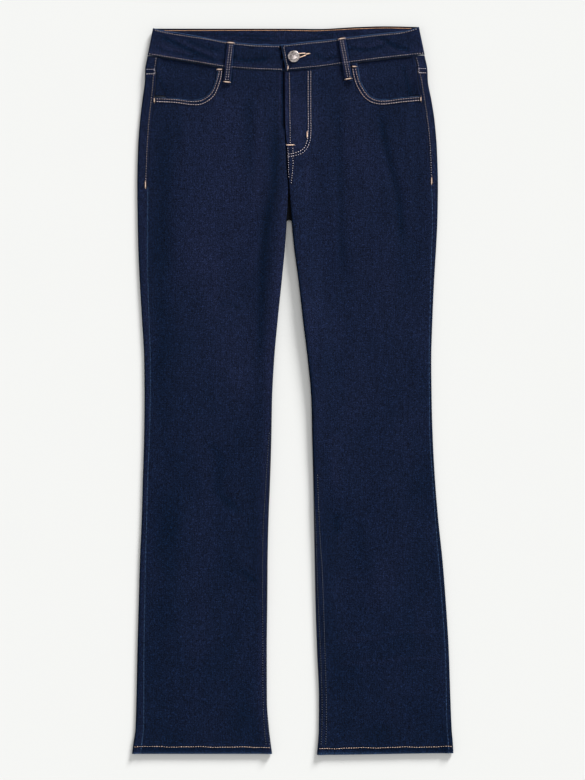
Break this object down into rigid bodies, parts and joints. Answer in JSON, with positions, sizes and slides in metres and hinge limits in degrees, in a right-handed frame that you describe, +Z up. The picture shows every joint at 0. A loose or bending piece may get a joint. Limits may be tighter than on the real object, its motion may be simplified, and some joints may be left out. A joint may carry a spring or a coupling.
{
  "type": "bootcut jeans",
  "caption": "Bootcut jeans laid flat and front up, with a waistband, belt loops, scooped front pockets, a lapped fly and a domed waist button.",
  "frame": {"origin": "on the surface that the garment lies on, under the middle of its outline", "axes": "+Z up from the surface towards the garment's front, +Y towards the waist, +X towards the wearer's left"},
  "size_m": [0.4666, 1.0575, 0.0141],
  "materials": {
    "denim": "dark indigo denim, matt",
    "zip_tape": "matt woven tape",
    "button_metal": "satin, warm silver"
  },
  "bodies": {
    "root": {"front_right": "denim", "front_left": "denim", "back_right": "denim", "back_left": "denim", "yoke_right": "denim", "yoke_left": "denim", "waistband": "denim", "pocket_facing_right": "denim", "pocket_facing_left": "denim", "back_pocket_right": "denim", "back_pocket_left": "denim", "belt_loop_1": "denim", "belt_loop_2": "denim", "belt_loop_3": "denim", "belt_loop_4": "denim", "belt_loop_5": "denim", "fly_zip": "zip_tape", "waist_button": "button_metal"}
  },
  "joints": []
}
